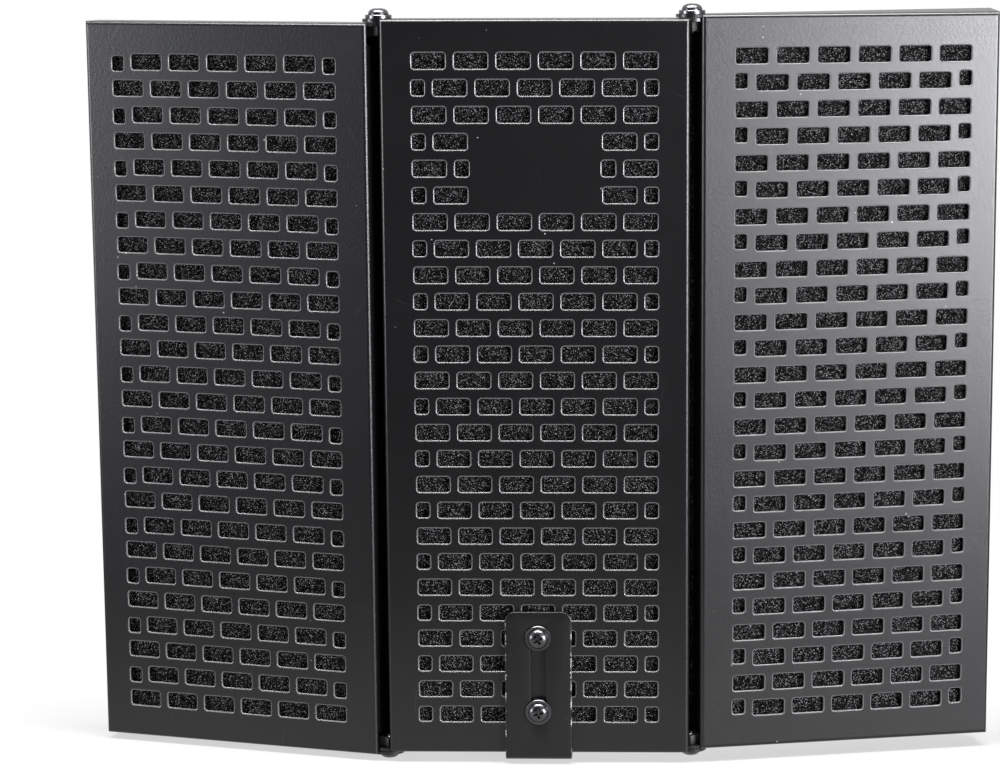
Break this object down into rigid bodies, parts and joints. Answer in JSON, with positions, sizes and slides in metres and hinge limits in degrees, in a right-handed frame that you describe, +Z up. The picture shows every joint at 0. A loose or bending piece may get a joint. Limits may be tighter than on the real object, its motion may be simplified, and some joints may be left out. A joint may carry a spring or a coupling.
{
  "type": "microphone isolation shield",
  "caption": "Folding acoustic shield of perforated steel panels with foam pads, hinged on screw pivots and carried on a slotted bracket with a stand bush.",
  "frame": {"origin": "centre of the mouth of the stand thread, on the underside of the stand bush", "axes": "+X across the shield to the right panel, +Y from the perforated face towards the microphone side, +Z up"},
  "size_m": [0.3778, 0.0995, 0.3148],
  "materials": {
    "panel_powder_coat": "satin black powder coat",
    "bracket_powder_coat": "satin black powder coat, worn at the edges",
    "acoustic_foam": "open-cell foam, charcoal",
    "black_zinc": "black zinc plated",
    "plated_steel": "black oxide",
    "nylon": "natural nylon"
  },
  "bodies": {
    "centre_panel": {"centre_tray": "panel_powder_coat", "centre_foam": "acoustic_foam", "left_hinge_screws": "black_zinc", "right_hinge_screws": "black_zinc", "left_hinge_washer": "black_zinc", "right_hinge_washer": "black_zinc", "left_friction_washers": "nylon", "right_friction_washers": "nylon", "left_hinge_nuts": "black_zinc", "right_hinge_nuts": "black_zinc", "bracket_screws": "black_zinc", "bracket_washers": "black_zinc", "bracket_nuts": "black_zinc"},
    "left_panel": {"left_tray": "panel_powder_coat", "left_foam": "acoustic_foam"},
    "right_panel": {"right_tray": "panel_powder_coat", "right_foam": "acoustic_foam"},
    "bracket": {"mount_bracket": "bracket_powder_coat"},
    "stand_mount": {"stand_bush": "plated_steel", "stand_washer": "plated_steel"},
    "ring": {"lock_ring": "plated_steel"}
  },
  "joints": [
    {"name": "left_panel_fold", "type": "hinge", "parent": "centre_panel", "child": "left_panel", "pos_m": [-0.0635, -0.0539, 0.1566], "axis": [0, 0, -1], "range_deg": [-36.3, 1.7]},
    {"name": "right_panel_fold", "type": "hinge", "parent": "centre_panel", "child": "right_panel", "pos_m": [0.0635, -0.0539, 0.1566], "axis": [0, 0, 1], "range_deg": [-32.7, 5.3]},
    {"name": "bracket_height", "type": "slide", "parent": "centre_panel", "child": "bracket", "axis": [0, 0, -1], "range_m": [0, 0.0025]},
    {"name": "stand_mount_reach", "type": "slide", "parent": "bracket", "child": "stand_mount", "axis": [0, 1, 0], "range_m": [-0.015, 0.015]},
    {"name": "lock_ring_turn", "type": "hinge", "parent": "stand_mount", "child": "ring", "pos_m": [0, 0, 0.008], "axis": [0, 0, 1], "continuous": true}
  ]
}
